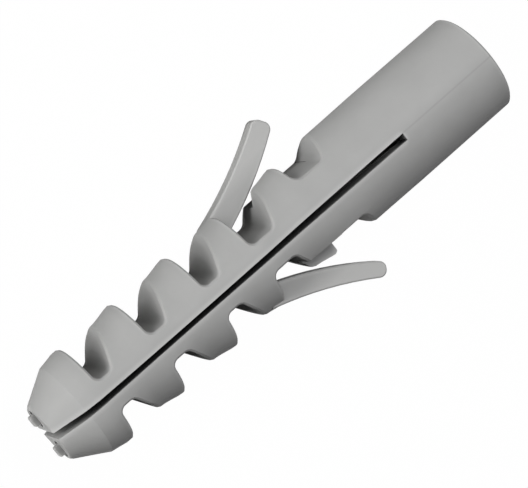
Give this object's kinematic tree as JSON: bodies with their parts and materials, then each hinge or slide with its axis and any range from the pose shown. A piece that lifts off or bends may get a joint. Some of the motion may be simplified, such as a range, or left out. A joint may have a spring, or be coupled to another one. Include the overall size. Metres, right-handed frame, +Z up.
{
  "type": "wall plug",
  "caption": "Split nylon expansion plug with a plain collar, saw-like teeth, two springy locking tongues and a tapered nose; a screw driven into its bore spreads the halves.",
  "frame": {"origin": "centre of the screw bore at the mouth face of the collar", "axes": "+X out of the mouth along the bore, the body runs to -X; +Z up as the plug lies on its teeth and on one tongue; +Y across it. The slot opens 18 degrees from +Z towards +Y"},
  "size_m": [0.0405, 0.0128, 0.0078],
  "materials": {
    "nylon": "moulded nylon, light grey, soft sheen"
  },
  "bodies": {
    "root": {"plug_body": "nylon"}
  },
  "joints": []
}
